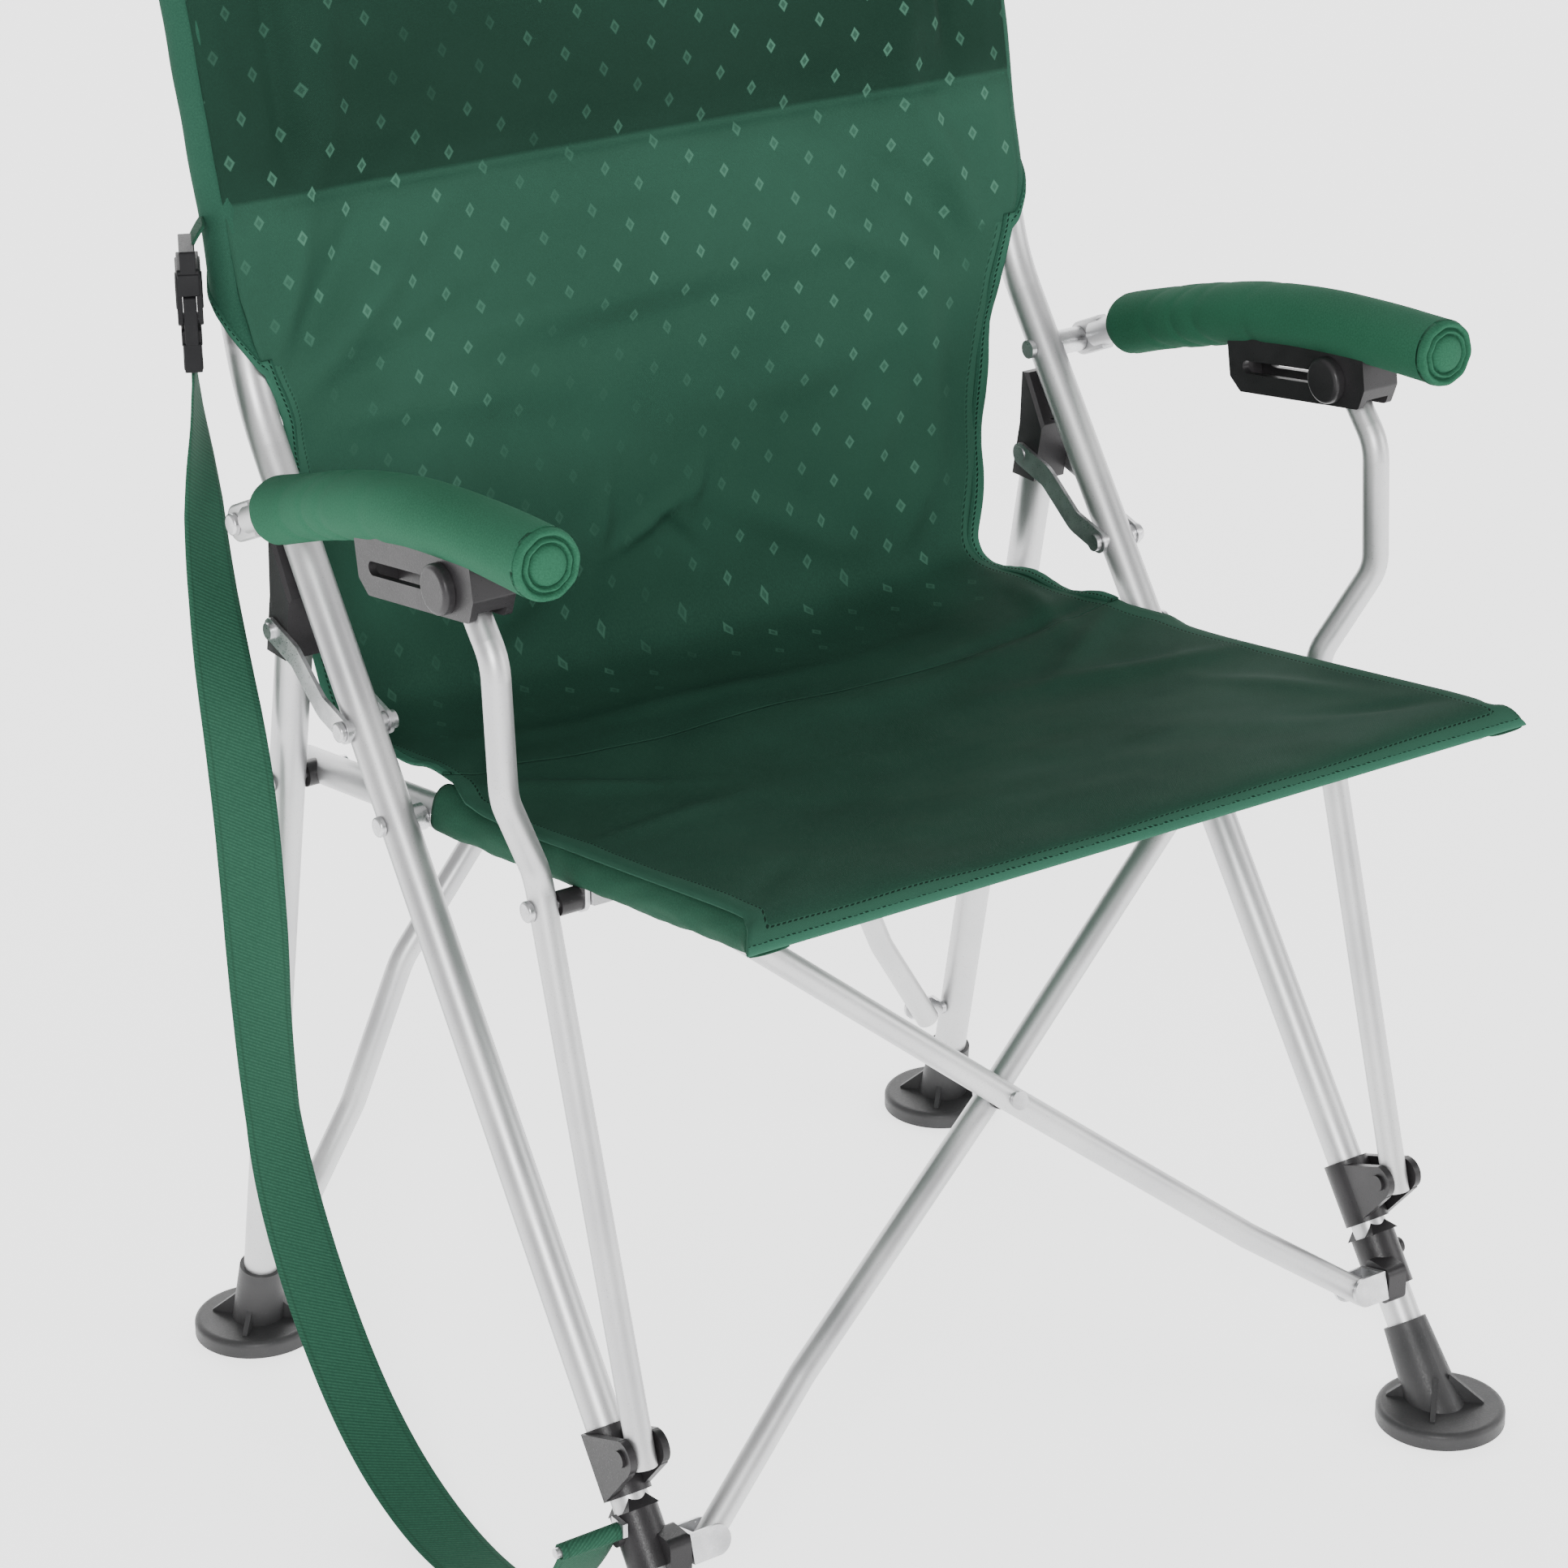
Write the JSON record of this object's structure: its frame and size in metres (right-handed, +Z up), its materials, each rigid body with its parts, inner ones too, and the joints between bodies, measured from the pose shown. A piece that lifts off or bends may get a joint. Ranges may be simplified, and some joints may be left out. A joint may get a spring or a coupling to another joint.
{
  "type": "folding camp armchair",
  "caption": "Folding high-back camp armchair: tubular frame with scissor braces, sling seat and back, padded armrests on sliding supports, disc feet and a carry strap.",
  "frame": {"origin": "middle of the footprint box, on the ground", "axes": "+Z up, front towards -Y, +X to the viewer's right as seen from the front"},
  "size_m": [0.654, 0.6116, 0.9343],
  "materials": {
    "tube": "satin light grey powder coat on steel tube",
    "zinc": "zinc-plated steel",
    "charcoal_plastic": "matt charcoal nylon",
    "foot_rubber": "matt dark grey rubber",
    "arm_cover": "green woven polyester over foam",
    "canvas": "dark green coated polyester canvas with small pale dots",
    "webbing": "green woven polyester webbing",
    "black_plastic": "black acetal"
  },
  "bodies": {
    "post_left": {"post_left": "tube", "post_foot_left": "foot_rubber", "post_collar_left": "charcoal_plastic", "post_bolts_left": "zinc", "post_spacers_left": "zinc", "backrest": "canvas", "carry_strap": "webbing", "buckle_plug": "black_plastic", "buckle_socket": "black_plastic", "strap_anchor": "zinc"},
    "post_right": {"post_right": "tube", "post_foot_right": "foot_rubber", "post_collar_right": "charcoal_plastic", "post_bolts_right": "zinc", "post_spacers_right": "zinc"},
    "front_clevis_left": {"front_low_clevis_left": "zinc"},
    "front_clevis_right": {"front_low_clevis_right": "zinc"},
    "front_brace_left": {"front_brace_left": "tube", "front_cross_rivet": "zinc", "front_cross_spacer": "charcoal_plastic"},
    "front_brace_right": {"front_brace_right": "tube"},
    "rail_left": {"rail_left": "tube", "rail_lug_left": "zinc", "rail_bolts_left": "zinc", "rail_spacers_left": "charcoal_plastic", "seat": "canvas"},
    "leg_left": {"leg_left": "tube", "leg_foot_left": "foot_rubber", "leg_cap_left": "charcoal_plastic"},
    "links_left": {"links_left": "zinc"},
    "hub_left": {"hub_left": "charcoal_plastic"},
    "support_left": {"arm_support_left": "tube"},
    "armrest_left": {"arm_tube_left": "tube", "arm_pad_left": "arm_cover", "arm_bracket_left": "charcoal_plastic"},
    "knob_left": {"arm_knob_left": "charcoal_plastic"},
    "front_tab_left": {"front_top_tab_left": "zinc"},
    "rear_clevis_left": {"rear_top_clevis_left": "zinc"},
    "rear_brace_left": {"rear_brace_left": "tube"},
    "rear_tab_left": {"rear_low_tab_left": "zinc"},
    "rail_right": {"rail_right": "tube", "rail_lug_right": "zinc", "rail_bolts_right": "zinc", "rail_spacers_right": "charcoal_plastic"},
    "leg_right": {"leg_right": "tube", "leg_foot_right": "foot_rubber", "leg_cap_right": "charcoal_plastic"},
    "links_right": {"links_right": "zinc"},
    "hub_right": {"hub_right": "charcoal_plastic"},
    "support_right": {"arm_support_right": "tube"},
    "armrest_right": {"arm_tube_right": "tube", "arm_pad_right": "arm_cover", "arm_bracket_right": "charcoal_plastic"},
    "knob_right": {"arm_knob_right": "charcoal_plastic"},
    "front_tab_right": {"front_top_tab_right": "zinc"},
    "rear_clevis_right": {"rear_top_clevis_right": "zinc"},
    "rear_brace_right": {"rear_brace_right": "tube"},
    "rear_tab_right": {"rear_low_tab_right": "zinc"}
  },
  "joints": [
    {"name": "front_clevis_left_turn", "type": "hinge", "parent": "post_left", "child": "front_clevis_left", "pos_m": [-0.258, -0.213, 0.08], "axis": [1, 0, 0], "range_deg": [-11.61, 0]},
    {"name": "fold", "type": "hinge", "parent": "front_clevis_left", "child": "front_brace_left", "pos_m": [-0.2385, -0.213, 0.08], "axis": [0, -0.9671, 0.2544], "range_deg": [0, 39.98], "deforming": ["seat", "backrest", "carry_strap"]},
    {"name": "front_cross", "type": "hinge", "parent": "front_brace_left", "child": "front_brace_right", "pos_m": [0, -0.1646, 0.264], "axis": [0, -0.9671, 0.2544], "range_deg": [-79.97, 0]},
    {"name": "front_clevis_right_fork", "type": "hinge", "parent": "front_brace_right", "child": "front_clevis_right", "pos_m": [0.2385, -0.213, 0.08], "axis": [0, -0.9671, 0.2544], "range_deg": [0, 39.99]},
    {"name": "front_clevis_right_turn", "type": "hinge", "parent": "front_clevis_right", "child": "post_right", "pos_m": [0.258, -0.213, 0.08], "axis": [1, 0, 0], "range_deg": [0, 11.61]},
    {"name": "rail_pivot_left", "type": "hinge", "parent": "post_left", "child": "rail_left", "pos_m": [-0.246, 0.04526, 0.432], "axis": [1, 0, 0], "range_deg": [-86.18, 0]},
    {"name": "leg_pivot_left", "type": "hinge", "parent": "rail_left", "child": "leg_left", "pos_m": [-0.272, 0.18, 0.413], "axis": [1, 0, 0], "range_deg": [0, 49.73]},
    {"name": "link_pivot_left", "type": "hinge", "parent": "post_left", "child": "links_left", "pos_m": [-0.272, 0.07896, 0.48], "axis": [1, 0, 0], "range_deg": [-112.26, 0]},
    {"name": "hub_slide_left", "type": "slide", "parent": "post_left", "child": "hub_left", "axis": [0, 0.5746, 0.8185], "range_m": [0, 0.20851]},
    {"name": "support_pivot_left", "type": "hinge", "parent": "rail_left", "child": "support_left", "pos_m": [-0.275, -0.1183, 0.44], "axis": [1, 0, 0], "range_deg": [0, 78.12]},
    {"name": "armrest_pivot_left", "type": "hinge", "parent": "post_left", "child": "armrest_left", "pos_m": [-0.304, 0.15478, 0.588], "axis": [1, 0, 0], "range_deg": [-62.05, 0]},
    {"name": "knob_slide_left", "type": "slide", "parent": "armrest_left", "child": "knob_left", "axis": [0, 0.9884, -0.1521], "range_m": [0, 0.05461]},
    {"name": "front_tab_turn_left", "type": "hinge", "parent": "rail_left", "child": "front_tab_left", "pos_m": [-0.248, -0.1183, 0.44], "axis": [1, 0, 0], "range_deg": [0, 74.58]},
    {"name": "rear_clevis_turn_left", "type": "hinge", "parent": "post_left", "child": "rear_clevis_left", "pos_m": [-0.262, 0.21957, 0.76], "axis": [1, 0, 0], "range_deg": [-25.31, 0]},
    {"name": "rear_brace_fork_left", "type": "hinge", "parent": "rear_clevis_left", "child": "rear_brace_left", "pos_m": [-0.244, 0.21957, 0.76], "axis": [0, -0.9991, -0.0421], "range_deg": [-26.89, 0]},
    {"name": "rear_tab_turn_left", "type": "hinge", "parent": "leg_left", "child": "rear_tab_left", "pos_m": [-0.259, 0.248, 0.086], "axis": [1, 0, 0], "range_deg": [0, 11.16]},
    {"name": "rail_pivot_right", "type": "hinge", "parent": "post_right", "child": "rail_right", "pos_m": [0.246, 0.04526, 0.432], "axis": [1, 0, 0], "range_deg": [-86.18, 0]},
    {"name": "leg_pivot_right", "type": "hinge", "parent": "rail_right", "child": "leg_right", "pos_m": [0.272, 0.18, 0.413], "axis": [1, 0, 0], "range_deg": [0, 49.73]},
    {"name": "link_pivot_right", "type": "hinge", "parent": "post_right", "child": "links_right", "pos_m": [0.272, 0.07896, 0.48], "axis": [1, 0, 0], "range_deg": [-112.26, 0]},
    {"name": "hub_slide_right", "type": "slide", "parent": "post_right", "child": "hub_right", "axis": [0, 0.5746, 0.8185], "range_m": [0, 0.20851]},
    {"name": "support_pivot_right", "type": "hinge", "parent": "rail_right", "child": "support_right", "pos_m": [0.275, -0.1183, 0.44], "axis": [1, 0, 0], "range_deg": [0, 78.12]},
    {"name": "armrest_pivot_right", "type": "hinge", "parent": "post_right", "child": "armrest_right", "pos_m": [0.304, 0.15478, 0.588], "axis": [1, 0, 0], "range_deg": [-62.05, 0]},
    {"name": "knob_slide_right", "type": "slide", "parent": "armrest_right", "child": "knob_right", "axis": [0, 0.9884, -0.1521], "range_m": [0, 0.05461]},
    {"name": "front_tab_turn_right", "type": "hinge", "parent": "rail_right", "child": "front_tab_right", "pos_m": [0.248, -0.1183, 0.44], "axis": [1, 0, 0], "range_deg": [0, 74.58]},
    {"name": "rear_clevis_turn_right", "type": "hinge", "parent": "post_right", "child": "rear_clevis_right", "pos_m": [0.262, 0.21957, 0.76], "axis": [1, 0, 0], "range_deg": [-25.31, 0]},
    {"name": "rear_brace_fork_right", "type": "hinge", "parent": "rear_clevis_right", "child": "rear_brace_right", "pos_m": [0.244, 0.21957, 0.76], "axis": [0, -0.9991, -0.0421], "range_deg": [0, 26.89]},
    {"name": "rear_tab_turn_right", "type": "hinge", "parent": "leg_right", "child": "rear_tab_right", "pos_m": [0.259, 0.248, 0.086], "axis": [1, 0, 0], "range_deg": [0, 11.16]}
  ],
  "couplings": [
    {"joint": "front_clevis_left_turn", "follows": "fold", "ratio": -0.29013},
    {"joint": "front_cross", "follows": "fold", "ratio": -2},
    {"joint": "front_clevis_right_fork", "follows": "fold", "ratio": 1},
    {"joint": "front_clevis_right_turn", "follows": "fold", "ratio": 0.29013},
    {"joint": "rail_pivot_left", "follows": "fold", "ratio": -2.1552},
    {"joint": "leg_pivot_left", "follows": "fold", "ratio": 1.2436},
    {"joint": "link_pivot_left", "follows": "fold", "ratio": -2.8075},
    {"joint": "hub_slide_left", "follows": "fold", "m_per_rad": 0.29879},
    {"joint": "support_pivot_left", "follows": "fold", "ratio": 1.9536},
    {"joint": "armrest_pivot_left", "follows": "fold", "ratio": -1.5517},
    {"joint": "knob_slide_left", "follows": "fold", "m_per_rad": 0.078244},
    {"joint": "front_tab_turn_left", "follows": "fold", "ratio": 1.8651},
    {"joint": "rear_clevis_turn_left", "follows": "fold", "ratio": -0.63279},
    {"joint": "rear_brace_fork_left", "follows": "fold", "ratio": -0.6723},
    {"joint": "rear_tab_turn_left", "follows": "fold", "ratio": 0.27887},
    {"joint": "rail_pivot_right", "follows": "fold", "ratio": -2.1552},
    {"joint": "leg_pivot_right", "follows": "fold", "ratio": 1.2436},
    {"joint": "link_pivot_right", "follows": "fold", "ratio": -2.8075},
    {"joint": "hub_slide_right", "follows": "fold", "m_per_rad": 0.29879},
    {"joint": "support_pivot_right", "follows": "fold", "ratio": 1.9536},
    {"joint": "armrest_pivot_right", "follows": "fold", "ratio": -1.5517},
    {"joint": "knob_slide_right", "follows": "fold", "m_per_rad": 0.078244},
    {"joint": "front_tab_turn_right", "follows": "fold", "ratio": 1.8651},
    {"joint": "rear_clevis_turn_right", "follows": "fold", "ratio": -0.63279},
    {"joint": "rear_brace_fork_right", "follows": "fold", "ratio": 0.6723},
    {"joint": "rear_tab_turn_right", "follows": "fold", "ratio": 0.27887}
  ]
}
